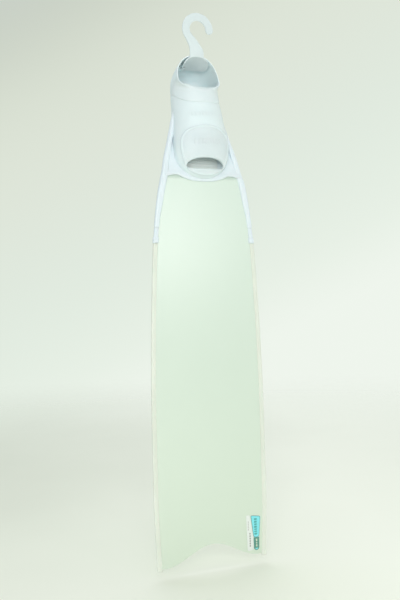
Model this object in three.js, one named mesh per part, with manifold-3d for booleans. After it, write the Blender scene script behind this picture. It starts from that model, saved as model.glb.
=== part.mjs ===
// Long-blade freediving fin hanging tip-down on its shop hanger.
// Millimetres, +Z up, +X to the wearer's side of the blade, +Y towards the sole.
// The fin is drawn in its blade frame: y = 0 is the blade's middle plane, z = 0 is the lowest
// point of the front web. The exported group is shifted so that the hook's seat is the origin.
import * as THREE from "three";
import { mergeVertices } from "three/addons/utils/BufferGeometryUtils.js";
import Module from "manifold-3d";

const wasm = await Module();
wasm.setup();

// ---------- driving dimensions ----------

const GAP = 0.3; // clearance kept between neighbouring pieces

// Blade
const BLADE_TAIL_Z = -661; // height of the blade's two tail corners
const TAIL_ARCH = 30; // how far the tail's middle is cut back
const TAIL_ARCH_HALF = 88; // half-width of the arch
const BLADE_ROOT_THICKNESS = 2.0;
const BLADE_TAIL_THICKNESS = 1.1;
const EDGE_INSET = 2.4; // from a rail's outside to the blade's own edge

// Foot pocket
const SOLE_ANGLE = THREE.MathUtils.degToRad(22); // sole against blade
const SOLE_Y = 8; // a point of the sole's outer face, where s = 0 and h = 0
const SOLE_Z = 10;
const TOE_CENTRE = 35.5; // s of the middle of the toe box's round front
const TOE_RADIUS = 45;
const TOE_HALF = 49.5; // half-width of the toe box
const WALL = 2.8; // rubber wall
const SOLE_TOP = 6.6; // top of the outsole, over the blade's tongue
const FLOOR_TOP = 9.2; // top of the shell's bottom wall
const FOOTBED_TOP = 11.4;

// Blade tongue, clamped between the shell and the outsole
const TONGUE_HALF = 31;
const TONGUE_H = 5.5; // its middle plane over the sole's outer face
const TONGUE_END = 74; // s where it ends
const SCREW_X = 17;
const SCREW_S = 48;

// Rails, tendons and collars down the blade's two edges
const TENDON_END_Z = -80;
const COLLAR_STEP_Z = -97;
const COLLAR_END_Z = -107;
const RAIL_END_Z = -665;

// Hanger: a flat strip hook with a curved plate that goes under the heel
const STRIP_Y = 9.5; // front face of the hook's strip
const STRIP_THICKNESS = 3;
const HOOK_X = 2.6;
const HOOK_Z = 270.3;
const HOOK_INNER = 15.1;
const HOOK_OUTER = 28.8;
const PLATE_RADIUS = 32; // across the plate, under the round heel
const PLATE_HALF = 23.5;
const PLATE_END = 39; // h of the plate's round end

// Fineness
const RING_SIDES = 28;
const RING_STEPS = [0.06, 0.2, 0.35, 0.5, 0.68, 0.84, 1, 1.2, 1.4, 1.6, 1.8, 2, 2.15, 2.3, 2.42, 2.52,
  2.62, 2.72, 2.82, 2.92, 3];
const EDGE_SIDES = 12;

// ---------- small geometry kit ----------

/** Smooth function through [at, value] knots that never overshoots; flat beyond its ends. */
function profile(knots) {
  const last = knots.length - 1;
  const secant = knots.slice(1).map(([x, y], i) => (y - knots[i][1]) / (x - knots[i][0]));
  const slope = knots.map((_, i) => {
    if (i === 0) return secant[0];
    if (i === last) return secant[last - 1];
    const [before, after] = [secant[i - 1], secant[i]];
    return before * after <= 0 ? 0 : (2 * before * after) / (before + after);
  });
  return (x) => {
    if (x <= knots[0][0]) return knots[0][1];
    if (x >= knots[last][0]) return knots[last][1];
    const i = knots.findIndex(([at]) => at > x) - 1;
    const span = knots[i + 1][0] - knots[i][0];
    const t = (x - knots[i][0]) / span;
    const rise = knots[i + 1][1] - knots[i][1];
    const ease = t * t * (3 - 2 * t);
    const lead = t * (1 - t) * (1 - t) * slope[i];
    const trail = t * t * (1 - t) * slope[i + 1];
    return knots[i][1] + rise * ease + span * (lead - trail);
  };
}

/** A solid from a closed three.js geometry, turned so that its faces point out. */
function solidOf(geometry) {
  const bare = geometry.clone();
  bare.deleteAttribute("normal");
  bare.deleteAttribute("uv");
  const merged = mergeVertices(bare, 1e-4);
  const vertProperties = new Float32Array(merged.attributes.position.array);
  const triVerts = new Uint32Array(merged.index.array);
  const solid = new wasm.Manifold(new wasm.Mesh({ numProp: 3, vertProperties, triVerts }));
  if (solid.volume() > 0) return solid;
  for (let i = 0; i < triVerts.length; i += 3) {
    [triVerts[i], triVerts[i + 1]] = [triVerts[i + 1], triVerts[i]];
  }
  return new wasm.Manifold(new wasm.Mesh({ numProp: 3, vertProperties, triVerts }));
}

function geometryOf(points, faces) {
  const geometry = new THREE.BufferGeometry();
  const flat = points.flatMap((p) => p.toArray());
  geometry.setAttribute("position", new THREE.Float32BufferAttribute(flat, 3));
  geometry.setIndex(faces.flat());
  return geometry;
}

/** Solid through a stack of rings with the same number of points, closed by a fan at each end. */
function loft(rings) {
  const count = rings[0].length;
  const points = rings.flat();
  const faces = [];
  const middle = (ring) => ring.reduce((sum, p) => sum.add(p), new THREE.Vector3()).divideScalar(count);
  for (let i = 0; i < count; i += 1) {
    const next = (i + 1) % count;
    for (let row = 0; row < (rings.length - 1) * count; row += count) {
      faces.push([row + i, row + next, row + count + i]);
      faces.push([row + next, row + count + next, row + count + i]);
    }
    const top = (rings.length - 1) * count;
    faces.push([next, i, points.length]);
    faces.push([top + i, top + next, points.length + 1]);
  }
  points.push(middle(rings[0]), middle(rings[rings.length - 1]));
  return solidOf(geometryOf(points, faces));
}

/** Closed sheet: at(u, v, side) gives its front (side 0) and back (side 1), u and v from 0 to 1. */
function sheet(columns, rows, at) {
  const points = [];
  for (const side of [0, 1]) {
    for (let j = 0; j <= rows; j += 1) {
      for (let i = 0; i <= columns; i += 1) points.push(at(i / columns, j / rows, side));
    }
  }
  const half = (columns + 1) * (rows + 1);
  const index = (i, j) => j * (columns + 1) + i;
  const faces = [];
  for (let j = 0; j < rows; j += 1) {
    for (let i = 0; i < columns; i += 1) {
      const [a, b, c, d] = [index(i, j), index(i + 1, j), index(i + 1, j + 1), index(i, j + 1)];
      faces.push([a, b, c], [a, c, d], [half + a, half + c, half + b], [half + a, half + d, half + c]);
    }
  }
  const rim = [];
  for (let i = 0; i < columns; i += 1) rim.push(index(i, 0));
  for (let j = 0; j < rows; j += 1) rim.push(index(columns, j));
  for (let i = columns; i > 0; i -= 1) rim.push(index(i, rows));
  for (let j = rows; j > 0; j -= 1) rim.push(index(0, j));
  rim.forEach((a, k) => {
    const b = rim[(k + 1) % rim.length];
    faces.push([b, a, half + a], [b, half + a, half + b]);
  });
  return solidOf(geometryOf(points, faces));
}

/** Solid of a flat outline drawn in x and z, from y = near to y = far. */
function slab(outline, near, far, curveSegments = 12) {
  const options = { depth: far - near, bevelEnabled: false, curveSegments };
  const geometry = new THREE.ExtrudeGeometry(outline, options);
  geometry.rotateX(Math.PI / 2);
  geometry.translate(0, far, 0);
  return solidOf(geometry);
}

/** Outline through hand-set points, straight or smooth. */
function outlineOf(points, smooth = false) {
  const shape = new THREE.Shape();
  shape.moveTo(...points[0]);
  if (smooth) shape.splineThru(points.slice(1).map(([x, z]) => new THREE.Vector2(x, z)));
  else points.slice(1).forEach(([x, z]) => shape.lineTo(x, z));
  return shape;
}

const cutAll = (solid, cutters) => cutters.reduce((left, cutter) => left.subtract(cutter), solid);

// ---------- the foot pocket's own axes: s along the sole, h up from it ----------

const ALONG = new THREE.Vector3(0, Math.sin(SOLE_ANGLE), Math.cos(SOLE_ANGLE));
const DORSAL = new THREE.Vector3(0, -Math.cos(SOLE_ANGLE), Math.sin(SOLE_ANGLE));

function onFoot(x, s, h) {
  return new THREE.Vector3(x, SOLE_Y, SOLE_Z).addScaledVector(ALONG, s).addScaledVector(DORSAL, h);
}

/** Block in the foot's axes. */
function footBlock(xHalf, s0, s1, h0, h1) {
  return sheet(1, 1, (u, v, side) => onFoot((u * 2 - 1) * xHalf, s0 + (s1 - s0) * v, side ? h1 : h0));
}

/** Round bar standing on the sole, from h0 to h1. */
function footBar(x, s, radius, h0, h1, sides = 16) {
  const geometry = new THREE.CylinderGeometry(radius, radius, h1 - h0, sides);
  const turn = new THREE.Quaternion().setFromUnitVectors(new THREE.Vector3(0, 1, 0), DORSAL);
  geometry.applyQuaternion(turn);
  geometry.translate(...onFoot(x, s, (h0 + h1) / 2).toArray());
  return solidOf(geometry);
}

// Rings run with q: 0 to 1 round the toe, 1 to 2 along the foot, 2 to 3 round the heel, where
// they fan about the instep's edge and end at the foot opening.
const instepLine = profile([[-9.5, 10], [-8.5, 17], [-5, 22.5], [0, 27.5], [7, 34], [33, 51.5],
  [71, 65.5], [105, 72.8], [131, 74.5]]);
const upperS = profile([[1, TOE_CENTRE], [1.5, 74], [2, 110], [2.3, 119], [2.6, 125.5], [2.8, 128.5],
  [3, 131]]);
const lowerS = profile([[1, TOE_CENTRE], [1.5, 76], [2, 118], [2.25, 155], [2.42, 181], [2.55, 196],
  [2.7, 204], [2.85, 206], [3, 203]]);
const lowerH = profile([[0, 4.6], [1, 0], [2.25, 0], [2.42, 1.5], [2.55, 8], [2.7, 24], [2.85, 48],
  [3, 74.4]]);
const halfWidth = profile([[1, TOE_HALF], [1.25, 49.3], [1.5, 47.5], [1.75, 45.5], [2, 43.8],
  [2.25, 42], [2.55, 40.5], [2.75, 39.8], [3, 40.2]]);
const widestAt = profile([[0, 0.5], [1, 0.62], [2, 0.58], [2.5, 0.5], [3, 0.34]]); // 1 at the sole
const soleSquareness = profile([[2, 0.72], [2.4, 0.95], [2.75, 0.92], [3, 0.84]]); // 1 is an oval edge
const sideDip = profile([[2.5, 0], [3, 9]]); // how far the opening's sides lie under its ends
const heelShare = profile([[2.3, 0], [3, 1]]); // 0 along the foot, 1 at the opening

/** One ring of the pocket's surface, moved in by `inset`; `floor` lifts its sole to that height. */
function pocketRing(q, inset, floor) {
  const round = Math.sin(Math.min(q, 1) * Math.PI / 2);
  const toeS = TOE_CENTRE - (TOE_RADIUS - inset) * Math.sqrt(1 - round * round);
  const top = new THREE.Vector2(q < 1 ? toeS : upperS(q), 0);
  top.y = instepLine(top.x);
  const bottom = new THREE.Vector2(q < 1 ? toeS : lowerS(q), lowerH(q));
  const slant = (instepLine(top.x + 1) - instepLine(top.x - 1)) / 2;
  const steep = Math.min(Math.hypot(1, slant), 2.2);
  const heel = heelShare(q);
  const down = bottom.clone().sub(top).normalize();
  top.addScaledVector(down, inset * THREE.MathUtils.lerp(steep, 1, heel));
  const lift = floor > 0 ? Math.max((floor - lowerH(q)) / -down.y, inset) : inset;
  bottom.addScaledVector(down, -lift);
  top.y = Math.max(top.y, bottom.y + 2 * (1 - heel));
  const wide = (q < 1 ? Math.max(TOE_HALF * round, 3 + inset) : halfWidth(q)) - inset;
  const centre = top.clone().lerp(bottom, widestAt(q));
  return Array.from({ length: RING_SIDES }, (_, i) => {
    const turn = (i / RING_SIDES) * Math.PI * 2;
    const power = Math.sin(turn) > 0 ? 1 : soleSquareness(q);
    const across = wide * Math.sign(Math.cos(turn)) * Math.abs(Math.cos(turn)) ** power;
    const reach = Math.abs(Math.sin(turn)) ** power;
    const point = centre.clone().lerp(Math.sin(turn) > 0 ? top : bottom, reach);
    return onFoot(across, point.x, point.y - sideDip(q) * Math.cos(turn) ** 2);
  });
}

/**
 * Solid inside the pocket's surface, moved in by `inset` (out where that is negative).
 * `rise` carries it on past the foot opening, for cutting.
 */
function pocketSolid(inset = 0, floor = 0, rise = 0) {
  const rings = RING_STEPS.map((q) => pocketRing(q, inset, floor));
  if (rise > 0) rings.push(pocketRing(3, inset, floor).map((p) => p.addScaledVector(DORSAL, rise)));
  return loft(rings);
}

const pocketOutside = pocketSolid();
const pocketClear = pocketSolid(-GAP);
const pocketCavity = pocketSolid(WALL, FLOOR_TOP, 20);

// ---------- the fin's outline and edges ----------

// Half-width over rails and tendons, down from the pocket's sides to the tail.
const finHalf = profile([[-665, 102.5], [-550, 106.1], [-400, 105.6], [-280, 103], [-180, 98.6],
  [-100, 93.9], [-40, 87], [0, 79.5], [9, 76.8], [18, 74.2], [36, 70.3], [51, 66.2], [62, 62.8],
  [84, 56.6], [103, 51.6], [127, 47.4]]);

/** Lozenge ring with round corners at height z, for a rail or tendon on side +1 or -1. */
function edgeRing(side, z, outerX, y, width, depth, inset = 0) {
  return Array.from({ length: EDGE_SIDES }, (_, i) => {
    const turn = ((i + 0.5) / EDGE_SIDES) * Math.PI * 2;
    const soft = (value) => Math.sign(value) * Math.abs(value) ** 0.6;
    const x = outerX - width / 2 + (width / 2 - inset) * soft(Math.cos(turn));
    return new THREE.Vector3(side * x, y + (depth / 2 - inset) * soft(Math.sin(turn)), z);
  });
}

// ---------- blade ----------

// The blade's middle runs straight up, then bends back to lie along the sole as the tongue.
const BEND_S = (TONGUE_H * Math.cos(SOLE_ANGLE) - SOLE_Y) / Math.sin(SOLE_ANGLE);
const BEND_Z = onFoot(0, BEND_S, TONGUE_H).z;
const BLADE_NORMAL = new THREE.Vector3(0, 1, 0);

/** Point on the blade's middle, `run` up from the bend, `off` behind it. */
function onBlade(x, run, off) {
  const bent = THREE.MathUtils.clamp(run / 4 + 0.5, 0, 1);
  const normal = BLADE_NORMAL.clone().lerp(DORSAL.clone().negate(), bent).normalize();
  const point = new THREE.Vector3(x, 0, BEND_Z);
  point.addScaledVector(run > 0 ? ALONG : new THREE.Vector3(0, 0, 1), run);
  return point.addScaledVector(normal, off);
}

const bladeHalf = profile([[4, 74], [7, 66], [10, 52], [14, 40], [19, 33], [26, TONGUE_HALF], [100, 28]]);
const tailArch = (x) => TAIL_ARCH * (0.5 + 0.5 * Math.cos(Math.PI * Math.min(Math.abs(x) / TAIL_ARCH_HALF, 1)));
const BLADE_RUNS = [BLADE_TAIL_Z - BEND_Z, -630, -590, -480, -380, -280, -190, -110, -50, -2, 2, 4, 7, 10,
  14, 19, 26, TONGUE_END - BEND_S];

/** The blade, or the space it needs where `grow` is over 0. */
function bladeSolid(grow = 0) {
  return sheet(16, BLADE_RUNS.length - 1, (u, v, side) => {
    const row = Math.round(v * (BLADE_RUNS.length - 1));
    const run = BLADE_RUNS[row];
    const half = run < 4 ? finHalf(run + BEND_Z) - EDGE_INSET : bladeHalf(run);
    const x = (2 * u - 1) * (half + grow);
    const share = THREE.MathUtils.smoothstep(run, BLADE_RUNS[0], 0);
    const thickness = THREE.MathUtils.lerp(BLADE_TAIL_THICKNESS, BLADE_ROOT_THICKNESS, share);
    const end = (row === 0 ? -grow : 0) + (row === BLADE_RUNS.length - 1 ? grow : 0);
    const arch = tailArch(x) * Math.max(0, 1 - (run - BLADE_RUNS[0]) / 90);
    return onBlade(x, run + end + arch, (side ? 1 : -1) * (thickness / 2 + grow));
  });
}

const bladeClear = bladeSolid(GAP);

const blade = bladeSolid();

// ---------- rails, tendons and collars ----------

const railDepth = profile([[-661, 3.4], [-107, 5.2]]);
const railWidth = profile([[-661, 7.6], [-107, 7]]);

function rail(side) {
  const heights = [COLLAR_END_Z - GAP, -180, -280, -400, -520, -600, -655];
  const rings = heights.map((z) => edgeRing(side, z, finHalf(z), 0, railWidth(z), railDepth(z)));
  rings.push(edgeRing(side, RAIL_END_Z, finHalf(RAIL_END_Z), 0, railWidth(RAIL_END_Z), railDepth(RAIL_END_Z), 1.2));
  return loft(rings).subtract(bladeClear);
}

const tendonWidth = profile([[-80, 9], [-65, 9.3], [-30, 12], [8, 12.5], [32, 10.5], [53, 10], [72, 8.5],
  [98, 6.5], [127, 5]]);
const tendonDepth = profile([[-80, 7], [-30, 8.5], [10, 10], [50, 10.5], [90, 10], [127, 7]]);
const tendonY = profile([[0, 0], [17, 3], [50, 8], [84, 14], [103, 17], [127, 20.5]]);
const TENDON_HEIGHTS = [TENDON_END_Z, -60, -40, -20, 0, 12, 24, 38, 52, 66, 80, 94, 108, 118, 124];

function tendonSolid(side, grow = 0) {
  return loft(TENDON_HEIGHTS.map((z, i) => {
    const end = i === 0 ? -grow : 0;
    return edgeRing(side, z + end, finHalf(z), tendonY(z), tendonWidth(z), tendonDepth(z), -grow);
  }));
}

/** The biggest body of a cut, without the crumbs that the cutters leave. */
function biggest(solid) {
  return solid.decompose().sort((a, b) => b.volume() - a.volume())[0];
}

const tendon = (side) => biggest(cutAll(tendonSolid(side), [bladeClear, pocketClear]));

function collar(side) {
  const steps = [[TENDON_END_Z - GAP, 0.4], [COLLAR_STEP_Z, 0.4], [COLLAR_STEP_Z - 0.6, -0.8],
    [COLLAR_END_Z + 0.8, -0.8], [COLLAR_END_Z, 0]];
  const rings = steps.map(([z, inset]) => edgeRing(side, z, finHalf(z), 0, 9, 6.8, inset));
  return loft(rings).subtract(bladeClear);
}

// ---------- webs over the blade's root ----------

const webEdge = profile([[0, 0], [20, 1.3], [36, 5.5], [51, 11], [58, 10.6], [64, 8.6], [72, 7.5]]);
const webY = profile([[0, -2.7], [8, -2.4], [20, 1], [50, 9.5], [84, 17], [96, 19.5]]);
const WEB_TOP = 92;
const WEB_THICKNESS = 2.6;

const tendonsClear = [1, -1].map((side) => tendonSolid(side, GAP));

function frontWeb() {
  const solid = sheet(28, 14, (u, v, side) => {
    const lean = (2 * u - 1);
    const low = webEdge(Math.abs(lean) * 72);
    const z = THREE.MathUtils.lerp(low, WEB_TOP, v);
    const x = lean * (finHalf(z) - tendonWidth(z) / 2);
    return new THREE.Vector3(x, webY(z) + (side ? 0.5 : -0.5) * WEB_THICKNESS, z);
  });
  return biggest(cutAll(solid, [bladeClear, pocketClear, ...tendonsClear]));
}

function rearWeb() {
  const solid = sheet(20, 6, (u, v, side) => {
    const run = THREE.MathUtils.lerp(-3, 17, v);
    const z = BEND_Z + run;
    const x = (2 * u - 1) * (finHalf(z) - tendonWidth(z) - 2 * GAP);
    return onBlade(x, run, side ? 3.4 : BLADE_ROOT_THICKNESS / 2 + GAP);
  });
  return biggest(solid.subtract(pocketClear));
}

// ---------- the pocket's pieces ----------

const TOE_OPENING = outlineOf([[0, 38.7], [-16, 37.3], [-27, 33.5], [-33.5, 29], [-31.5, 24.3], [-25, 21.6],
  [0, 20.7], [25, 21.6], [31.5, 24.3], [33.5, 29], [27, 33.5], [16, 37.3], [0, 38.7]], true);
const toeCutter = slab(TOE_OPENING, -60, -3, 2);
const screwHoles = (radius, h0, h1) => [1, -1].map((side) => footBar(side * SCREW_X, SCREW_S, radius, h0, h1));

function pocketShell() {
  const above = footBlock(90, -60, 260, SOLE_TOP + GAP, 130);
  const holes = [...screwHoles(2.3, 5, 12), ...screwHoles(4.9, FLOOR_TOP, 14)];
  return cutAll(pocketOutside.intersect(above), [pocketCavity, toeCutter, ...holes]);
}

function outsole() {
  const below = footBlock(90, -3, 260, -5, SOLE_TOP);
  const holes = [...screwHoles(2.3, -2, 6), ...screwHoles(5.6, -2, 2.6)];
  return biggest(cutAll(pocketOutside.intersect(below), [bladeClear, ...holes]));
}

function footbed() {
  const layer = footBlock(90, -60, 260, FLOOR_TOP + GAP, FOOTBED_TOP);
  return cutAll(pocketSolid(WALL + GAP, FLOOR_TOP + GAP).intersect(layer), screwHoles(4.9, 8, 13));
}

/** Skin on the pocket's outside, up to `height` thick. */
function skin(height) {
  return pocketSolid(-height).subtract(pocketSolid(-GAP, 0, 20));
}

function toePanel() {
  const oval = outlineOf([[0, 9], [22, 13.5], [37, 27], [43, 45], [44.5, 62], [41, 78], [28, 89.5], [0, 95],
    [-28, 89.5], [-41, 78], [-44.5, 62], [-43, 45], [-37, 27], [-22, 13.5], [0, 9]], true);
  return biggest(skin(1.5).intersect(slab(oval, -70, 6, 2)).subtract(toeCutter));
}

function instepBand() {
  const sideView = outlineOf([[-60, 130], [15, 144], [13, 190], [-60, 190]]);
  const geometry = new THREE.ExtrudeGeometry(sideView, { depth: 140, bevelEnabled: false });
  const turn = new THREE.Matrix4().makeBasis(
    new THREE.Vector3(0, 1, 0),
    new THREE.Vector3(0, 0, 1),
    new THREE.Vector3(1, 0, 0),
  );
  geometry.applyMatrix4(turn);
  geometry.translate(-70, 0, 0);
  return biggest(skin(1.1).intersect(solidOf(geometry)));
}

// ---------- blade fixings ----------

/** Round piece on the screw's axis from [radius, h] points, closed on the axis or on itself. */
function turned(side, points) {
  const geometry = new THREE.LatheGeometry(points.map(([r, h]) => new THREE.Vector2(r, h)), 16);
  const turn = new THREE.Quaternion().setFromUnitVectors(new THREE.Vector3(0, 1, 0), DORSAL);
  geometry.applyQuaternion(turn);
  geometry.translate(...onFoot(side * SCREW_X, SCREW_S, 0).toArray());
  return solidOf(geometry);
}

const screw = (side) => turned(side, [[0, 0.2], [3, 0.2], [3.8, 0.7], [3.8, 1.4], [2, 1.4], [2, 10.8], [0, 10.8]]);
const washer = (side) => turned(side, [[2.3, 1.7], [5.2, 1.7], [5.2, 2.3], [2.3, 2.3], [2.3, 1.7]]);
const nut = (side) => turned(side, [[2.3, 9.5], [4.6, 9.5], [4.6, 11], [2.3, 11], [2.3, 9.5]]);

// ---------- hanger ----------

const PLATE_TOP = 199.4; // s of the plate's upper face on the middle line
const PLATE_THICKNESS = 2.6;
const plateRetreat = profile([[12.5, 0], [20, 2.5], [24, 6]]); // its front edge beside the strip

function hangerPlate() {
  return sheet(14, 12, (u, v, side) => {
    const round = Math.max(0, (v - 0.45) / 0.57);
    const x = (2 * u - 1) * PLATE_HALF * Math.sqrt(1 - round * round);
    const fall = PLATE_RADIUS - Math.sqrt(PLATE_RADIUS ** 2 - x * x);
    const s = PLATE_TOP - fall - (side ? PLATE_THICKNESS : 0);
    const strip = (SOLE_Y + s * Math.sin(SOLE_ANGLE) - STRIP_Y - 0.1) / Math.cos(SOLE_ANGLE);
    return onFoot(x, s, THREE.MathUtils.lerp(strip - plateRetreat(Math.abs(x)), PLATE_END, v));
  });
}

function hanger() {
  const from = THREE.MathUtils.degToRad(0);
  const to = THREE.MathUtils.degToRad(205);
  const middle = (HOOK_INNER + HOOK_OUTER) / 2;
  const tip = [HOOK_X + middle * Math.cos(from), HOOK_Z + middle * Math.sin(from)];
  const points = (list) => list.map(([x, z]) => new THREE.Vector2(x, z));
  const shape = new THREE.Shape();
  shape.absarc(HOOK_X, HOOK_Z, HOOK_OUTER, from, to, false);
  shape.splineThru(points([[-20, 252.1], [-14.8, 241], [-13.1, 232.3], [-13, 219.5]]));
  shape.splineThru(points([[0, 222.3], [12.7, 219.5]]));
  shape.splineThru(points([[12.7, 227], [11.6, 234.6], [6.1, 243.1], [-1.2, 252.9], [-7.8, 259.6]]));
  shape.absarc(HOOK_X, HOOK_Z, HOOK_INNER, to, from, true);
  shape.absarc(tip[0], tip[1], (HOOK_OUTER - HOOK_INNER) / 2, from + Math.PI, from, false);
  const strip = slab(shape, STRIP_Y, STRIP_Y + STRIP_THICKNESS, 14);
  const geometry = new THREE.CylinderGeometry(2.2, 2.2, 12, 16);
  geometry.applyQuaternion(new THREE.Quaternion().setFromUnitVectors(new THREE.Vector3(0, 1, 0), ALONG));
  geometry.translate(...onFoot(-17.5, PLATE_TOP - 6, 52).toArray());
  return strip.add(hangerPlate()).subtract(solidOf(geometry));
}

// ---------- label on the blade, near the tail ----------

const LABEL_BACK = -0.9; // y of the labels' backs, just clear of the blade
const LABEL_THICKNESS = 0.3;
const label = (shape) => slab(shape, LABEL_BACK - LABEL_THICKNESS, LABEL_BACK);

function labelTop() {
  return label(outlineOf([[74.5, -590.5], [91, -592.5], [92.6, -594.5], [89.4, -629.8], [78.4, -629.8],
    [72.8, -593], [73.2, -591]]));
}

function labelEnd() {
  const shape = new THREE.Shape();
  shape.moveTo(78.5, -630.2);
  shape.lineTo(89.4, -630.2);
  shape.lineTo(89, -649);
  shape.absarc(83.9, -649, 5.1, 0, -Math.PI, true);
  return label(shape);
}

function labelStrip() {
  return label(outlineOf([[65.5, -590.5], [71.8, -590.5], [77.7, -630], [77.9, -650], [76, -653], [69, -654],
    [66.5, -651]]));
}

// ---------- assembly ----------

const FINISHES = {
  rubber: { color: 0xe6f1f0, roughness: 0.55 },
  panel: { color: 0xe5f0ef, roughness: 0.5 },
  frame: { color: 0xe8f2f4, roughness: 0.42 },
  laminate: { color: 0xdff3e2, roughness: 0.25 },
  rail: { color: 0xe8eedf, roughness: 0.5 },
  steel: { color: 0xb9bcc0, roughness: 0.3, metalness: 1 },
  hanger: { color: 0xe2eee8, roughness: 0.4 },
  cyan: { color: 0x76ceca, roughness: 0.35 },
  green: { color: 0x4f8f84, roughness: 0.35 },
  clear: { color: 0xe6f2ea, roughness: 0.2 },
};

const fin = new THREE.Group();
fin.position.set(-HOOK_X, -(STRIP_Y + STRIP_THICKNESS / 2), -(HOOK_Z + HOOK_INNER));

function place(name, solid, finish) {
  const { vertProperties, triVerts } = solid.getMesh();
  const geometry = new THREE.BufferGeometry();
  geometry.setAttribute("position", new THREE.Float32BufferAttribute(vertProperties, 3));
  geometry.setIndex(new THREE.Uint32BufferAttribute(triVerts, 1));
  geometry.computeVertexNormals();
  const mesh = new THREE.Mesh(geometry, new THREE.MeshStandardMaterial(FINISHES[finish]));
  mesh.name = name;
  fin.add(mesh);
}

place("foot_pocket_shell", pocketShell(), "rubber");
place("instep_band", instepBand(), "rubber");
place("toe_panel", toePanel(), "panel");
place("footbed", footbed(), "rubber");
place("outsole", outsole(), "frame");
place("front_web", frontWeb(), "frame");
place("rear_web", rearWeb(), "frame");
place("blade", cutAll(blade, screwHoles(2.3, 2, 9)), "laminate");
for (const [side, hand] of [[1, "right"], [-1, "left"]]) {
  place(`tendon_${hand}`, tendon(side), "frame");
  place(`tendon_collar_${hand}`, collar(side), "frame");
  place(`blade_rail_${hand}`, rail(side), "rail");
  place(`blade_screw_${hand}`, screw(side), "steel");
  place(`screw_washer_${hand}`, washer(side), "steel");
  place(`screw_nut_${hand}`, nut(side), "steel");
}
place("hanger", hanger(), "hanger");
place("label_top", labelTop(), "cyan");
place("label_end", labelEnd(), "green");
place("label_strip", labelStrip(), "clear");

const object = new THREE.Group();
object.add(fin);

export default object;
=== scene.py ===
# Looks of a long-blade freediving fin on its shop hanger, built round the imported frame.
# Shapes are worked out in millimetres in the fin's blade frame: x across the blade, y towards the
# sole, z up along the blade, with y = 0 in the blade's middle plane and z = 0 at the front web's
# lowest point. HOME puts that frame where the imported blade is.
import math

import bmesh
import bpy
import numpy as np
from mathutils import Matrix, Vector
from mathutils.bvhtree import BVHTree


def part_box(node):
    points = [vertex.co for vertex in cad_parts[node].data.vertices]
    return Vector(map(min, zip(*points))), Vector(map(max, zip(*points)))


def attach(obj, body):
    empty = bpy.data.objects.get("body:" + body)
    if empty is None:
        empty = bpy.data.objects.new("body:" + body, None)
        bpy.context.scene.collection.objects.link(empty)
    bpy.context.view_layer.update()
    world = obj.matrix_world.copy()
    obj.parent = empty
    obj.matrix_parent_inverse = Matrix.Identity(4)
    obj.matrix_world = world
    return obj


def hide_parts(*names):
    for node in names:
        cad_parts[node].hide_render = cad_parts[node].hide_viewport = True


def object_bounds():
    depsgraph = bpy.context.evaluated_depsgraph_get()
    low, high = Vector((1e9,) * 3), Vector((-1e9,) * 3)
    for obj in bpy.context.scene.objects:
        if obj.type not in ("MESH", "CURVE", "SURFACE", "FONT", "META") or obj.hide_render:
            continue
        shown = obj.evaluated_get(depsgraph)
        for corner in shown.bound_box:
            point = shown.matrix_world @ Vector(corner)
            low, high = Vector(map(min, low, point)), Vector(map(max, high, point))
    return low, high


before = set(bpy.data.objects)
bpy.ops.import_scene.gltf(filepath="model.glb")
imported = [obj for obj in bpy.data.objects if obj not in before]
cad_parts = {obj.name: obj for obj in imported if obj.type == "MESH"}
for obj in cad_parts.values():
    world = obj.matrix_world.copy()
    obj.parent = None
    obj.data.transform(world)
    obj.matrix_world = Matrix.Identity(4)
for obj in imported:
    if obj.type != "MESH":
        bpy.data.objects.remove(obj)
cad_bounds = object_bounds()

# ---------- driving dimensions, as in the CAD, in millimetres ----------

GAP = 0.3
BLADE_TAIL_Z = -661
TAIL_ARCH = 30
TAIL_ARCH_HALF = 88
BLADE_ROOT_THICKNESS = 2.0
BLADE_TAIL_THICKNESS = 1.1
EDGE_INSET = 2.4

SOLE_ANGLE = math.radians(22)
SOLE_Y = 8
SOLE_Z = 10
TOE_CENTRE = 35.5
TOE_RADIUS = 45
TOE_HALF = 49.5
WALL = 2.8
SOLE_TOP = 6.6
SOLE_FRONT = -3
FLOOR_TOP = 9.2
FOOTBED_TOP = 11.4

TONGUE_HALF = 31
TONGUE_H = 5.5
TONGUE_END = 74
SCREW_X = 17
SCREW_S = 48

TENDON_END_Z = -80
COLLAR_STEP_Z = -97
COLLAR_END_Z = -107
RAIL_END_Z = -665

STRIP_Y = 9.5
STRIP_THICKNESS = 3
HOOK_X = 2.6
HOOK_Z = 270.3
HOOK_INNER = 15.1
HOOK_OUTER = 28.8
PLATE_RADIUS = 32
PLATE_HALF = 23.5
PLATE_END = 39
PLATE_TOP = 199.4
PLATE_THICKNESS = 2.6

WEB_TOP = 92
WEB_THICKNESS = 2.6

blade_low, blade_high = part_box("blade")
HOME = np.array([
    (blade_low.x + blade_high.x) / 2,
    blade_low.y + BLADE_ROOT_THICKNESS / 2000,
    blade_low.z - BLADE_TAIL_Z / 1000,
])


# ---------- small geometry kit ----------

def profile(knots):
    """Smooth function through (at, value) knots that never overshoots; flat beyond its ends."""
    at, value = np.array(knots, float).T
    secant = np.diff(value) / np.diff(at)
    slope = np.concatenate([secant[:1], np.zeros(len(at) - 2), secant[-1:]])
    before, after = secant[:-1], secant[1:]
    same = before * after > 0
    slope[1:-1] = np.where(same, 2 * before * after / np.where(same, before + after, 1), 0)

    def curve(x):
        x = np.clip(x, at[0], at[-1])
        i = np.clip(np.searchsorted(at, x, side="right") - 1, 0, len(at) - 2)
        span = at[i + 1] - at[i]
        t = (x - at[i]) / span
        rise = (value[i + 1] - value[i]) * t * t * (3 - 2 * t)
        return value[i] + rise + span * (t * (1 - t) ** 2 * slope[i] - t * t * (1 - t) * slope[i + 1])

    return curve


def lerp(a, b, t):
    return a + (b - a) * t


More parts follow.
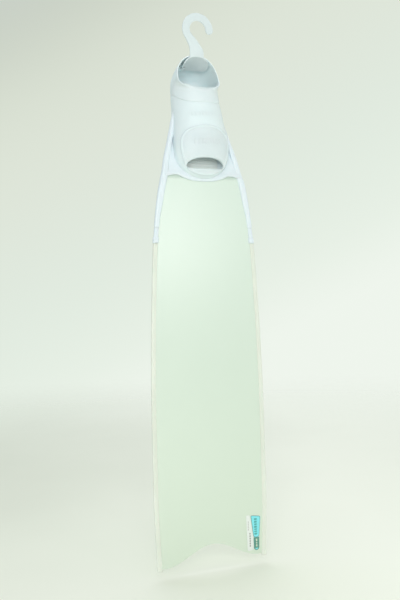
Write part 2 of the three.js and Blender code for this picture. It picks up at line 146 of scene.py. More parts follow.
def smoothstep(x, low, high):
    t = np.clip((x - low) / (high - low), 0, 1)
    return t * t * (3 - 2 * t)


def quarter_round(share):
    """Height of a quarter circle, from 0 to 1 while share goes from 0 to 1."""
    return np.sqrt(1 - (1 - np.clip(share, 0, 1)) ** 2)


def unit(vectors):
    return vectors / np.maximum(np.linalg.norm(vectors, axis=-1, keepdims=True), 1e-9)


def smooth_rows(values, radius):
    """Gaussian average along the first axis; the two ends stay where they are."""
    reach = int(3 * radius)
    weights = np.exp(-0.5 * (np.arange(-reach, reach + 1) / radius) ** 2)
    weights /= weights.sum()
    ends = ((reach, reach),) + ((0, 0),) * (values.ndim - 1)
    padded = np.pad(values, ends, mode="reflect", reflect_type="odd")
    rows = len(values)
    return sum(w * padded[k:k + rows] for k, w in enumerate(weights))


def through(points, per=16, closed=False):
    """Catmull-Rom curve through 2-D points, with `per` samples for each stretch."""
    points = np.array(points, float)
    count = len(points)
    t = (np.arange(per) / per)[:, None]
    padded = np.pad(points, ((1, 2), (0, 0)), mode="wrap" if closed else "edge")
    out = []
    for i in range(count if closed else count - 1):
        a, b, c, d = padded[i:i + 4]
        out.append(0.5 * (2 * b + (c - a) * t + (2 * a - 5 * b + 4 * c - d) * t ** 2
                          + (3 * b - a - 3 * c + d) * t ** 3))
    if not closed:
        out.append(points[-1:])
    return np.concatenate(out)


def around(count):
    """Angles once round, evenly spaced."""
    return np.linspace(0, 2 * math.pi, count, endpoint=False)


def arc(x, z, radius, start, end, steps):
    turn = np.radians(np.linspace(start, end, steps + 1))
    return np.stack([x + radius * np.cos(turn), z + radius * np.sin(turn)], -1)


def inset_outline(outline, distance):
    """A closed anticlockwise outline moved in by `distance`."""
    step = np.roll(outline, -1, 0) - outline
    normal = unit(np.stack([-step[:, 1], step[:, 0]], -1))
    bisector = unit(normal + np.roll(normal, 1, 0))
    stretch = 1 / np.maximum((bisector * normal).sum(-1, keepdims=True), 0.5)
    return outline + bisector * stretch * distance


def mirrored(half):
    """Closed outline from one half of it, which starts and ends on the middle line."""
    return half + [(-x, z) for x, z in half[-2:0:-1]]


def anticlockwise(outline):
    x, z = outline.T
    area = (x * np.roll(z, -1) - np.roll(x, -1) * z).sum()
    return outline if area > 0 else outline[::-1]


def edge_spaced(count, length, rounding, steps=4):
    """Shares from 0 to 1, close together where both ends are rounded off."""
    near = rounding * (1 - np.cos(np.linspace(0, math.pi / 2, steps + 1))) / length
    return np.concatenate([near[:-1], np.linspace(near[-1], 1 - near[-1], count), 1 - near[:-1][::-1]])


def quads(rows, columns, wrap_rows=False, wrap_columns=False, start=0):
    faces = []
    for j in range(rows if wrap_rows else rows - 1):
        for i in range(columns if wrap_columns else columns - 1):
            k, n = (i + 1) % columns, (j + 1) % rows
            faces.append([start + j * columns + i, start + j * columns + k,
                          start + n * columns + k, start + n * columns + i])
    return faces


def lofted(rings, ends="fan"):
    """Points and faces of a closed form through rings: ends are "fan", "face" or "loop"."""
    rows, columns = rings.shape[:2]
    points = rings.reshape(-1, 3)
    faces = quads(rows, columns, wrap_rows=ends == "loop", wrap_columns=True)
    first, last = list(range(columns))[::-1], list(range((rows - 1) * columns, rows * columns))
    if ends == "face":
        faces += [first, last]
    if ends == "fan":
        points = np.concatenate([points, [rings[0].mean(0), rings[-1].mean(0)]])
        for loop, tip in ((first, rows * columns), (last, rows * columns + 1)):
            faces += [[loop[i], loop[(i + 1) % columns], tip] for i in range(columns)]
    return points, faces


def sheeted(front, back):
    """Points and faces of a closed sheet from two grids of the same size."""
    rows, columns = front.shape[:2]
    half = rows * columns
    points = np.concatenate([front.reshape(-1, 3), back.reshape(-1, 3)])
    faces = quads(rows, columns) + [face[::-1] for face in quads(rows, columns, start=half)]
    rim = list(range(columns))
    rim += [j * columns + columns - 1 for j in range(1, rows)]
    rim += [(rows - 1) * columns + i for i in range(columns - 2, -1, -1)]
    rim += [j * columns for j in range(rows - 2, 0, -1)]
    for a, b in zip(rim, rim[1:] + rim[:1]):
        faces.append([b, a, half + a, half + b])
    return points, faces


def grid_normals(grid):
    across = np.gradient(grid, axis=1)
    along = np.gradient(grid, axis=0)
    return unit(np.cross(across, along))


def outward_normals(grid):
    """Normals of a grid round the pocket, all pointing away from its middle."""
    normals = grid_normals(grid)
    away = grid - grid.mean(1, keepdims=True)
    return normals * np.sign((normals * away).sum(-1).mean())


def pillow(outline, near, far, rounding, steps=4):
    """Rings of a flat outline in x and z, from y = near to y = far, with rounded edges."""
    outline = anticlockwise(outline)
    fronts, backs = [], []
    for k in range(steps + 1):
        turn = math.pi / 2 * k / steps
        loop = inset_outline(outline, rounding * (1 - math.sin(turn)))
        rise = rounding * (1 - math.cos(turn))
        fronts.append([(x, near + rise, z) for x, z in loop])
        backs.append([(x, far - rise, z) for x, z in loop])
    return np.array(fronts + backs[::-1])


# ---------- pieces and cuts ----------

def mesh_of(name, points, faces):
    """Mesh from points in the blade frame, in millimetres, with its normals pointing out."""
    mesh = bpy.data.meshes.new(name)
    mesh.from_pydata((HOME + points / 1000).tolist(), [], faces)
    shape = bmesh.new()
    shape.from_mesh(mesh)
    bmesh.ops.remove_doubles(shape, verts=shape.verts, dist=2e-6)
    bmesh.ops.dissolve_degenerate(shape, edges=shape.edges, dist=1e-6)
    flat = [face for face in shape.faces if len(face.verts) > 4]
    bmesh.ops.triangulate(shape, faces=flat)
    bmesh.ops.recalc_face_normals(shape, faces=shape.faces)
    shape.to_mesh(mesh)
    shape.free()
    return mesh


def linked(name, data):
    obj = bpy.data.objects.new(name, data)
    bpy.context.scene.collection.objects.link(obj)
    return obj


def formed(name, points_faces):
    return linked(name, mesh_of(name, *points_faces))


def tool(points_faces):
    return formed("tool", points_faces)


def cut(obj, *tools, operation="DIFFERENCE"):
    """Cuts the tools out of obj, or joins them to it, for good."""
    for cutter in tools:
        modifier = obj.modifiers.new("cut", "BOOLEAN")
        modifier.solver = "MANIFOLD"
        modifier.operation = operation
        modifier.object = cutter
    bpy.context.view_layer.update()
    result = bpy.data.meshes.new_from_object(obj.evaluated_get(bpy.context.evaluated_depsgraph_get()))
    obj.modifiers.clear()
    obj.data = result


def scrap(*tools):
    for cutter in tools:
        bpy.data.objects.remove(cutter)


def finished(obj, finish, body="fin", stands_for=(), sharp=35):
    """Gives a piece its material, smooth shading and body, and hides the parts it stands for."""
    record_slot, look = FINISHES[finish]
    obj.data.materials.clear()
    obj.data.materials.append(look)
    obj.data.shade_smooth()
    obj.data.set_sharp_from_angle(angle=math.radians(sharp))
    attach(obj, body)
    if stands_for:
        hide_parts(*stands_for)
    return obj


def piece(name, points_faces, finish, **how):
    return finished(formed(name, points_faces), finish, **how)


# ---------- materials ----------

def linear(colour):
    """Scene-linear colour of a display colour given in 0 to 255."""
    value = np.array(colour) / 255
    return tuple(np.where(value <= 0.04045, value / 12.92, ((value + 0.055) / 1.055) ** 2.4)) + (1.0,)


class Nodes:
    """Short way to lay out the nodes of one material or of the world."""

    def __init__(self, owner, shader="Principled BSDF", place="Object"):
        owner.use_nodes = True
        self.owner = owner
        self.tree = owner.node_tree
        self.shader = self.tree.nodes[shader]
        self.place = self.add("TexCoord").outputs[place]

    def feed(self, socket, value):
        """Links a socket to another node's output or gives it a plain value."""
        if isinstance(value, bpy.types.NodeSocket):
            self.tree.links.new(value, socket)
        else:
            socket.default_value = value

    def add(self, kind, inputs=(), **settings):
        node = self.tree.nodes.new("ShaderNode" + kind)
        for key, value in settings.items():
            setattr(node, key, value)
        for key, value in dict(inputs).items():
            self.feed(node.inputs[key], value)
        return node

    def noise(self, scale, detail=2.0, stretch=(1, 1, 1)):
        place = self.add("Mapping", {"Vector": self.place, "Scale": stretch}).outputs[0]
        return self.add("TexNoise", {"Vector": place, "Scale": scale, "Detail": detail}).outputs["Fac"]

    def ramp(self, factor, low, high, a, b):
        """Value that goes from a to b while factor goes from low to high."""
        inputs = {"Value": factor, "From Min": low, "From Max": high, "To Min": a, "To Max": b}
        return self.add("MapRange", inputs).outputs["Result"]

    def mix(self, factor, a, b):
        node = self.add("Mix", data_type="RGBA")
        for wanted, value in (("Factor_Float", factor), ("A_Color", a), ("B_Color", b)):
            self.feed(next(s for s in node.inputs if s.identifier == wanted), value)
        return next(s for s in node.outputs if s.identifier == "Result_Color")

    def math(self, operation, a, b=0.0):
        return self.add("Math", {0: a, 1: b}, operation=operation).outputs[0]

    def along(self, direction):
        """How far a place lies in a direction."""
        inputs = {0: self.place, 1: direction}
        return self.add("VectorMath", inputs, operation="DOT_PRODUCT").outputs["Value"]

    def bump(self, height, strength, distance):
        inputs = {"Height": height, "Strength": strength, "Distance": distance}
        self.set(Normal=self.add("Bump", inputs).outputs["Normal"])

    def set(self, **values):
        for key, value in values.items():
            self.feed(self.shader.inputs[key.replace("_", " ")], value)


def material(name):
    return Nodes(bpy.data.materials.new(name))


def moulded_rubber(name, light, dark, roughness, grain, depth):
    """Matte moulded rubber: fine pebbled skin, faint clouds and an uneven sheen."""
    n = material(name)
    cloud = n.noise(22, 4)
    n.set(Base_Color=n.mix(n.ramp(cloud, 0.3, 0.7, 0, 1), linear(dark), linear(light)))
    n.set(Roughness=n.ramp(n.noise(60, 3), 0.3, 0.7, roughness - 0.05, roughness + 0.06))
    fine = n.noise(grain, 2)
    broad = n.noise(160, 2)
    n.bump(n.math("ADD", fine, n.math("MULTIPLY", broad, 0.8)), 0.5, depth)
    n.set(Subsurface_Weight=0.3, Subsurface_Scale=0.004, Subsurface_Radius=(0.85, 1.0, 1.0))
    n.set(Specular_IOR_Level=0.4)
    return n.owner


THREAD_PITCH = 0.0032  # of the glass cloth, in metres
TAIL_HEIGHT, ROOT_HEIGHT = -0.95, -0.3  # ends of the resin's change of colour, in metres


def fibreglass():
    """Satin pale-green laminate: faint glass cloth under a resin that is warmer towards the tail."""
    n = material("fibreglass")
    split = n.add("SeparateXYZ", {"Vector": n.place})
    turn = 2 * math.pi / THREAD_PITCH
    warp = n.math("SINE", n.math("MULTIPLY", split.outputs["X"], turn))
    weft = n.math("SINE", n.math("MULTIPLY", split.outputs["Z"], turn))
    weave = n.math("MULTIPLY", warp, weft)
    cloud = n.noise(3, 3, (1, 1, 0.35))
    height = n.ramp(split.outputs["Z"], TAIL_HEIGHT, ROOT_HEIGHT, 0, 1)
    dark = n.mix(height, linear((210, 223, 206)), linear((209, 224, 213)))
    light = n.mix(height, linear((219, 230, 215)), linear((218, 231, 222)))
    resin = n.mix(cloud, dark, light)
    n.set(Base_Color=n.mix(n.ramp(weave, -1, 1, 0, 0.02), resin, linear((226, 233, 223))))
    n.set(Roughness=n.ramp(n.noise(4, 1), 0, 1, 0.27, 0.29))
    n.bump(weave, 0.15, 0.000006)
    n.set(Specular_IOR_Level=0.9, Coat_Weight=0.1, Coat_Roughness=0.25)
    return n.owner


def hanger_plastic():
    """Whitish injection-moulded plastic with faint flow lines."""
    n = material("hanger_plastic")
    flow = n.ramp(n.noise(30, 4, (1, 1, 0.25)), 0.3, 0.7, 0, 1)
    n.set(Base_Color=n.mix(flow, linear((215, 225, 228)), linear((223, 233, 236))))
    n.set(Roughness=n.ramp(n.noise(80, 2), 0.3, 0.7, 0.3, 0.4))
    n.bump(n.noise(900, 2), 0.25, 0.00008)
    return n.owner


def printed_film(name, light, dark, roughness=0.3, alpha=1.0):
    """Printed sticker film: a faint mottle in the ink and soft waves in the film."""
    n = material(name)
    n.set(Base_Color=n.mix(n.ramp(n.noise(260, 3), 0.35, 0.65, 0, 1), linear(dark), linear(light)))
    n.set(Roughness=n.ramp(n.noise(90, 2), 0.3, 0.7, roughness - 0.04, roughness + 0.06))
    n.bump(n.noise(120, 2), 0.2, 0.0001)
    n.set(Alpha=alpha)
    return n.owner


def steel():
    """Stainless steel with fine turning marks."""
    n = material("stainless")
    n.set(Base_Color=n.mix(n.noise(300, 3), linear((172, 176, 178)), linear((204, 206, 208))))
    n.set(Metallic=1.0, Roughness=n.ramp(n.noise(700, 2, (1, 6, 1)), 0.3, 0.7, 0.24, 0.4))
    n.bump(n.noise(1500, 2, (1, 5, 1)), 0.3, 0.00005)
    return n.owner


# Slot, light and dark colour, roughness, pebbles per metre and their depth in metres.
RUBBERS = {
    "pocket": ("pocket_rubber", (231, 243, 246), (226, 238, 242), 0.48, 1500, 0.0002),
    "panel": ("pocket_rubber", (223, 234, 238), (218, 229, 234), 0.46, 1500, 0.00018),
    "frame": ("frame_rubber", (228, 237, 243), (223, 232, 239), 0.36, 1900, 0.00012),
    # Painted light: the footbed's rubber is painted brighter than the pocket's, standing in for light that
    # hardly reaches inside the pocket.
    "bed_painted_bright": ("pocket_rubber", (243, 252, 248), (237, 247, 243), 0.5, 1300, 0.0002),
    "sole": ("frame_rubber", (226, 232, 235), (218, 225, 228), 0.55, 1100, 0.0003),
    "rail": ("rail", (229, 232, 223), (222, 226, 216), 0.42, 1700, 0.00014),
}
# Slot, light and dark colour and, for the clear film, its roughness and how much it hides.
FILMS = {
    "cyan": ("label_cyan", (139, 233, 243), (131, 226, 236)),
    "green": ("label_green", (106, 160, 144), (96, 150, 134)),
    "clear": ("label_clear", (246, 250, 247), (240, 245, 242), 0.2, 0.9),
    "teal_edge": ("label_cyan", (66, 152, 160), (60, 144, 152)),
    "teal_ink": ("label_green", (92, 178, 178), (82, 168, 168)),
    "plum_ink": ("label_clear", (166, 160, 160), (156, 150, 150)),
    "pale_ink": ("label_clear", (226, 232, 214), (216, 223, 204)),
}
FINISHES = {
    "laminate": ("laminate", fibreglass()),
    "hanger": ("hanger_plastic", hanger_plastic()),
    "steel": ("steel", steel()),
}
for key, (record_slot, *look) in RUBBERS.items():
    FINISHES[key] = record_slot, moulded_rubber(f"{key}_rubber", *look)
for key, (record_slot, *look) in FILMS.items():
    FINISHES[key] = record_slot, printed_film(f"label_{key}", *look)


# ---------- the foot pocket's surface ----------

SIN_SOLE, COS_SOLE = math.sin(SOLE_ANGLE), math.cos(SOLE_ANGLE)
ALONG = np.array([0, SIN_SOLE, COS_SOLE])
DORSAL = np.array([0, -COS_SOLE, SIN_SOLE])


def on_foot(x, s, h):
    """Point at x, s along the sole and h up from it."""
    x, s, h = np.broadcast_arrays(x, s, h)
    return np.stack([x, SOLE_Y + s * SIN_SOLE - h * COS_SOLE, SOLE_Z + s * COS_SOLE + h * SIN_SOLE], -1)


# q runs 0 to 1 round the toe, 1 to 2 along the foot and 2 to 3 round the heel to the foot opening.
instep_line = profile([(-9.5, 10), (-8.5, 17), (-5, 22.5), (0, 27.5), (7, 34), (33, 51.5), (71, 65.5),
                       (105, 72.8), (131, 74.5)])
upper_s = profile([(1, TOE_CENTRE), (1.5, 74), (2, 110), (2.3, 119), (2.6, 125.5), (2.8, 128.5), (3, 131)])
lower_s = profile([(1, TOE_CENTRE), (1.5, 76), (2, 118), (2.25, 155), (2.42, 181), (2.55, 196), (2.7, 204),
                   (2.85, 206), (3, 203)])
lower_h = profile([(0, 4.6), (1, 0), (2.25, 0), (2.42, 1.5), (2.55, 8), (2.7, 24), (2.85, 48), (3, 74.4)])
half_width = profile([(1, TOE_HALF), (1.25, 49.3), (1.5, 47.5), (1.75, 45.5), (2, 43.8), (2.25, 42),
                      (2.55, 40.5), (2.75, 39.8), (3, 40.2)])
widest_at = profile([(0, 0.5), (1, 0.62), (2, 0.58), (2.5, 0.5), (3, 0.34)])
sole_squareness = profile([(2, 0.72), (2.4, 0.95), (2.75, 0.92), (3, 0.84)])
side_dip = profile([(2.5, 0), (3, 9)])
heel_share = profile([(2.3, 0), (3, 1)])

TURNS = around(144)


def pocket_grid(q, inset=0.0, floor=0.0, turns=TURNS):
    """x, s and h on the pocket's surface, moved in by inset; floor lifts its sole to that height."""
    q, turn = q[:, None], turns[None, :]
    toe = q < 1
    bulge = np.sin(np.minimum(q, 1) * math.pi / 2)
    toe_s = TOE_CENTRE - (TOE_RADIUS - inset) * np.sqrt(1 - bulge ** 2)
    top_s, low_s = np.where(toe, toe_s, upper_s(q)), np.where(toe, toe_s, lower_s(q))
    top_h, low_h = instep_line(top_s), lower_h(q)
    heel = heel_share(q)
    steep = np.minimum(np.hypot(1, (instep_line(top_s + 1) - instep_line(top_s - 1)) / 2), 2.2)
    length = np.hypot(low_s - top_s, low_h - top_h)
    down_s, down_h = (low_s - top_s) / length, (low_h - top_h) / length
    drop = inset * lerp(steep, 1, heel)
    lift = np.maximum((floor - low_h) / -down_h, inset) if floor > 0 else inset
    top_s, top_h = top_s + down_s * drop, top_h + down_h * drop
    low_s, low_h = low_s - down_s * lift, low_h - down_h * lift
    top_h = np.maximum(top_h, low_h + 2 * (1 - heel))
    wide = np.where(toe, np.maximum(TOE_HALF * bulge, 3 + inset), half_width(q)) - inset
    mid_s, mid_h = lerp(top_s, low_s, widest_at(q)), lerp(top_h, low_h, widest_at(q))
    cos, sin = np.cos(turn), np.sin(turn)
    power = np.where(sin > 0, 1.0, sole_squareness(q))
    reach = np.abs(sin) ** power
    x = wide * np.sign(cos) * np.abs(cos) ** power
    s = lerp(mid_s, np.where(sin > 0, top_s, low_s), reach)
    h = lerp(mid_h, np.where(sin > 0, top_h, low_h), reach) - side_dip(q) * cos ** 2
    return np.stack([x, s, h], -1)


def pocket_rings(steps, inset=0.0, floor=0.0, start=0.03, lowest=-99.0):
    """Rings of the pocket's surface as points, with the sole cut flat at `lowest`."""
    grid = smooth_rows(pocket_grid(np.linspace(start, 3, steps), inset, floor), 2.5)
    return on_foot(grid[..., 0], grid[..., 1], np.maximum(grid[..., 2], lowest))


def rim_rings(outer, inner, before, steps=8):
    """Rounded edge from the outer ring over to the inner one."""
    middle = (outer + inner) / 2
    forward = unit(outer - before) * np.linalg.norm(outer - inner, axis=-1, keepdims=True) * 0.5
    turns = np.linspace(0, math.pi, steps + 2)[1:-1]
    return np.array([middle + (outer - middle) * math.cos(t) + forward * math.sin(t) for t in turns])


OUTSIDE = pocket_rings(200)


def pocket_core(inset):
    """Temporary solid inside the pocket's surface, for cutting what would show in its cavity."""
    return tool(lofted(pocket_rings(100, inset=inset, start=0.05)[:, ::2]))


# Height map of the pocket's front: y of its surface at x and z.
MAP_X, MAP_Z, MAP_STEP = -60, -6, 1.0
MISSED = 90.0


def height_map():
    points, faces = lofted(OUTSIDE)
    tree = BVHTree.FromPolygons(points.tolist(), faces)
    across, up = np.arange(MAP_X, -MAP_X + 1, MAP_STEP), np.arange(MAP_Z, 200, MAP_STEP)
    heights = np.full((len(up), len(across)), MISSED)
    for j, z in enumerate(up):
        for i, x in enumerate(across):
            hit = tree.ray_cast(Vector((x, -200, z)), Vector((0, 1, 0)))[0]
            if hit is not None:
                heights[j, i] = hit.y
    return heights


HEIGHTS = height_map()
EVEN_HEIGHTS = smooth_rows(smooth_rows(HEIGHTS, 1.2).T, 1.2).T
WEB_HEIGHTS = smooth_rows(smooth_rows(np.minimum(HEIGHTS, 30), 1.6).T, 1.6).T


def sample(grid, x, z):
    """Bilinear value of a map grid at x and z."""
    i, j = (x - MAP_X) / MAP_STEP, (z - MAP_Z) / MAP_STEP
    i, j = np.clip(i, 0, grid.shape[1] - 1.001), np.clip(j, 0, grid.shape[0] - 1.001)
    a, b = np.floor(i).astype(int), np.floor(j).astype(int)
    u, v = i - a, j - b
    return lerp(lerp(grid[b, a], grid[b, a + 1], u), lerp(grid[b + 1, a], grid[b + 1, a + 1], u), v)


SLOPE_Z, SLOPE_X = np.gradient(EVEN_HEIGHTS, MAP_STEP)


def on_front(x, z, lift, straight=0.0):
    """Point over the pocket's front at x and z; straight = 1 lifts along -y and 0 along the normal."""
    y = sample(EVEN_HEIGHTS, x, z)
    out = unit(np.stack([sample(SLOPE_X, x, z), -np.ones_like(y), sample(SLOPE_Z, x, z)], -1))
    ahead = np.array([0, -1.0, 0])
    away = unit(lerp(out, ahead, np.broadcast_to(straight, y.shape)[..., None]))
    return np.stack([x, y, z], -1) + away * np.broadcast_to(lift, y.shape)[..., None]


# ---------- foot pocket ----------

TOE_OPENING = through(mirrored([(0, 38.7), (-16, 37.4), (-27, 34), (-33, 29.5), (-33.6, 25), (-29.5, 21.6),
                                (-20, 20.5), (0, 20.2)]), 12, closed=True)
TOE_MIDDLE = np.array([0, 30])
PANEL_OUTLINE = through(mirrored([(0, 9), (22, 13.5), (37, 27), (43, 45), (44.5, 62), (41, 78), (28, 89.5),
                                  (0, 95)]), 12, closed=True)
PANEL_HEIGHT = 1.3
PANEL_SUNK = 0.5  # how far the panel's underside goes into the pocket
LIP_ROLL = 2.0  # radius of the panel's lip round the toe opening
LIP_DEPTH = 4.2  # how far the lip goes into the opening
BEAD_RISE = 1.1
BEAD_START = 5.4  # from the panel's outer edge
BEAD_RUN = 2.6
BEAD_ROLL = 2.2
RIM_DIP = 0.8  # how far the pocket's wall draws in towards its rim


def pocket_shell():
    """The pocket's wall in one piece, from the toe over its rolled rim and back down inside."""
    steps = 200
    dip = RIM_DIP * smoothstep(np.arange(steps), steps - 16, steps - 1)[:, None, None]
    outer = pocket_rings(steps, lowest=SOLE_TOP + GAP)
    outer = outer - outward_normals(outer) * dip
    inner = pocket_rings(110, WALL, FLOOR_TOP, start=0.06)[::-1]
    rings = np.concatenate([outer, rim_rings(outer[-1], inner[0], outer[-3]), inner])
    shell = formed("foot_pocket", lofted(rings))
    opening = tool(lofted(pillow(TOE_OPENING, -60, -3, 0.01, 1)[1:3], "face"))
    cut(shell, opening)
    scrap(opening)
    return finished(shell, "pocket", stands_for=["foot_pocket_shell"])


def radius_at(outline, centre, turns):
    """Distance from the centre to a closed outline in each direction."""
    offset = outline - centre
    angle = np.arctan2(offset[:, 1], offset[:, 0])
    order = np.argsort(angle)
    return np.interp(turns, angle[order], np.linalg.norm(offset, axis=-1)[order], period=2 * math.pi)


def toe_panel():
    """Raised oval round the toe opening: a rolled lip inside and a bead along its outer edge."""
    turns = np.linspace(-math.pi, math.pi, 288, endpoint=False)
    near = radius_at(TOE_OPENING, TOE_MIDDLE, turns)
    far = radius_at(PANEL_OUTLINE, TOE_MIDDLE, turns)
    # The section's points are a share of the way out, millimetres beyond it, and a lift.
    section = [(0, 0, -lift) for lift in (LIP_DEPTH, 3, 1.8)]
    for turn in np.radians(np.linspace(0, 90, 7)):
        section.append((0, LIP_ROLL * (1 - math.cos(turn)), PANEL_HEIGHT + LIP_ROLL * (math.sin(turn) - 1)))
    for share in np.linspace(0.04, 1, 40):
        section.append((share, LIP_ROLL * (1 - share) - BEAD_START * share, PANEL_HEIGHT))
    for step in np.linspace(0.1, 1, 8):
        rise = BEAD_RISE * math.sin(math.pi / 2 * step) ** 2
        section.append((1, BEAD_RUN * step - BEAD_START, PANEL_HEIGHT + rise))
    fall = PANEL_HEIGHT + BEAD_RISE + PANEL_SUNK
    for turn in np.radians(np.linspace(12, 90, 7)):
        section.append((1, BEAD_ROLL * (math.sin(turn) - 1), fall * math.cos(turn) - PANEL_SUNK))
    section += [(share, 0, -PANEL_SUNK) for share in (0.95, 0.7, 0.4, 0.15)]
    section.append((0, 0.6, -LIP_DEPTH))
    rings = []
    room = np.clip((far - near) / 9, 0.25, 1)  # draws lip and bead together where the panel is narrow
    for share, more, lift in section:
        reach = near + share * (far - near) + more * room
        x, z = TOE_MIDDLE[0] + reach * np.cos(turns), TOE_MIDDLE[1] + reach * np.sin(turns)
        rings.append(on_front(x, z, lift, 1 - smoothstep(reach - near, 0, 5)))
    return piece("toe_panel_moulded", lofted(np.array(rings), "loop"), "panel", stands_for=["toe_panel"])


def gathered(forms):
    """One set of points and faces from several."""
    points, faces = [], []
    for more, sides in forms:
        start = sum(map(len, points))
        faces += [[start + i for i in face] for face in sides]
        points.append(more)
    return np.concatenate(points), faces


def raised_bars(name, finish, across, middle, width, tall, base, rise):
    """Row of plain raised bars on the pocket's front, each a low pillow that follows the surface."""
    u, v = np.meshgrid(np.linspace(-1, 1, 9), np.linspace(-1, 1, 15))
    edge = np.clip(1 - np.maximum(np.abs(u) ** 3, np.abs(v) ** 7), 0, 1) ** 0.5
    z = middle + v * tall / 2
    bars = []
    for x0 in across:
        x = x0 + u * width / 2
        bars.append(sheeted(on_front(x, z, base + rise * edge), on_front(x, z, base - 0.4)))
    return piece(name, gathered(bars), finish)


BAND_THICKNESS = 1.15


def seam_height(y):
    """z of the instep band's lower seam, seen from the side."""
    return 126.5 + (y + 60) * 14 / 75


def instep_band():
    """Thicker band under the foot opening, from its seam on the instep up to the rim."""
    turns = np.radians(np.linspace(-2, 182, 150))
    q = np.linspace(1.6, 3, 380)
    surface = on_foot(*np.moveaxis(smooth_rows(pocket_grid(q, turns=turns), 4), -1, 0))
    outward = outward_normals(surface)
    sides = np.abs(np.cos(turns)) ** 6
    above = surface[..., 2] - seam_height(surface[..., 1]) - 12 * sides
    first = smooth_rows(np.argmax(above > 0, axis=0).astype(float), 2.5)
    shares = np.concatenate([np.linspace(0, 0.12, 8), np.linspace(0.14, 1, 34)])
    rows = first + shares[:, None] * (len(q) - 4 - first)
    low = np.floor(rows).astype(int)
    part = (rows - low)[..., None]
    column = np.arange(len(turns))
    base = lerp(surface[low, column], surface[low + 1, column], part)
    normal = unit(lerp(outward[low, column], outward[low + 1, column], part))
    run = np.linalg.norm(np.diff(base, axis=0, prepend=base[:1]), axis=-1).cumsum(0)
    from_sides = 45 * np.minimum(column, len(turns) - 1 - column) / len(turns)
    fade = 1 - smoothstep(shares, 0.6, 1)[:, None]
    thick = (BAND_THICKNESS * quarter_round(run / 1.3) * quarter_round(from_sides / 8) * fade)[..., None]
    return piece("instep_band_moulded", sheeted(base + normal * thick, base - normal * 0.5), "pocket",
                 stands_for=["instep_band"])


RIB_PITCH = 6
RIB_HEIGHT = 0.4


def rib_tops(s):
    """Height of the footbed's ribbed top at s along the sole."""
    return FOOTBED_TOP + RIB_HEIGHT * (0.5 + 0.5 * np.cos(s * 2 * math.pi / RIB_PITCH)) ** 3


def footbed():
    """Inner sole with low cross ribs."""
    # Its finish is painted brighter than the pocket's rubber, as painted light inside the pocket.
    bed_painted_bright = formed("footbed_ribbed", lofted(pocket_rings(150, WALL + GAP, FLOOR_TOP + GAP, start=0.08)))
    holes = [foot_bar(side * SCREW_X, SCREW_S, 4.9, 8, 13) for side in (1, -1)]
    above = foot_block(rib_tops)
    cut(bed_painted_bright, above, *holes)
    scrap(above, *holes)
    return finished(bed_painted_bright, "bed_painted_bright", stands_for=["footbed"])


def foot_block(low):
    """Everything over the height `low` above the sole; low may follow a function of s."""
    x, s = np.meshgrid([-80.0, 80.0], np.linspace(-40, 260, 601))
    return tool(sheeted(on_foot(x, s, low(s)), on_foot(x, s, 140)))


def foot_bar(x, s, radius, low, high):
    """Round bar that stands on the sole."""
    turns = around(48)
    x, s = x + radius * np.cos(turns), s + radius * np.sin(turns)
    return tool(lofted(np.array([on_foot(x, s, h) for h in (low, high)])))


TREAD_PITCH = 7.5
TREAD_HEIGHT = 1.1


def outsole():
    """Sole plate with curved tread ribs under the ball of the foot and the heel."""
    start = math.asin(math.sqrt(1 - ((TOE_CENTRE - SOLE_FRONT) / TOE_RADIUS) ** 2)) * 2 / math.pi
    turns = around(240)
    q = np.concatenate([np.linspace(start, 1, 50)[:-1], np.linspace(1, 2.42, 330),
                        np.linspace(2.43, 2.62, 16)])
    x, s, h = np.moveaxis(pocket_grid(q, turns=turns), -1, 0)
    under = smoothstep(-np.sin(turns), 0.55, 0.8)
    ball = smoothstep(s, 40, 48) * (1 - smoothstep(s, 96, 104))
    heel = smoothstep(s, 128, 136) * (1 - smoothstep(s, 176, 184))
    bowed = s + 6 * np.cos(x / 18)
    wave = 0.5 + 0.5 * np.sin(bowed * 2 * math.pi / TREAD_PITCH)
    clear = smoothstep(np.hypot(np.abs(x) - SCREW_X, s - SCREW_S), 8.5, 10.5)
    tread = TREAD_HEIGHT * smoothstep(wave, 0.45, 0.8) * under * (ball + heel) * clear
    sole = formed("outsole_treaded", lofted(on_foot(x, s, h - tread)))
    holes = [foot_bar(side * SCREW_X, SCREW_S, radius, -4, top)
             for side in (1, -1) for radius, top in ((2.3, 9), (5.6, 2.6))]
    above, slot = foot_block(lambda s: SOLE_TOP), tool(blade_grids(GAP))
    cut(sole, above, *holes, slot)
    scrap(above, *holes, slot)
    return finished(sole, "sole", stands_for=["outsole"])


# ---------- blade, rails, tendons and collars ----------

fin_half = profile([(-665, 102.5), (-550, 106.1), (-400, 105.6), (-280, 103), (-180, 98.6), (-100, 93.9),
                    (-40, 87), (0, 79.5), (9, 76.8), (18, 74.2), (36, 70.3), (51, 66.2), (62, 62.8),
                    (84, 56.6), (103, 51.6), (127, 47.4)])
blade_half = profile([(4, 74), (7, 66), (10, 52), (14, 40), (19, 33), (26, TONGUE_HALF), (100, 28)])
BEND_S = (TONGUE_H * COS_SOLE - SOLE_Y) / SIN_SOLE
BEND_Z = float(on_foot(0.0, BEND_S, TONGUE_H)[2])


def on_blade(x, run, off):
    """Point on the blade's middle, `run` up from where it bends to the sole, `off` behind it."""
    x, run, off = np.broadcast_arrays(x, run, off)
    bent = smoothstep(run, -3, 3)[..., None]
    normal = unit(lerp(np.array([0, 1.0, 0]), -DORSAL, bent))
    along = np.where(run[..., None] > 0, ALONG, np.array([0, 0, 1.0])) * run[..., None]
    return np.stack([x, 0 * x, BEND_Z + 0 * x], -1) + along + normal * off[..., None]


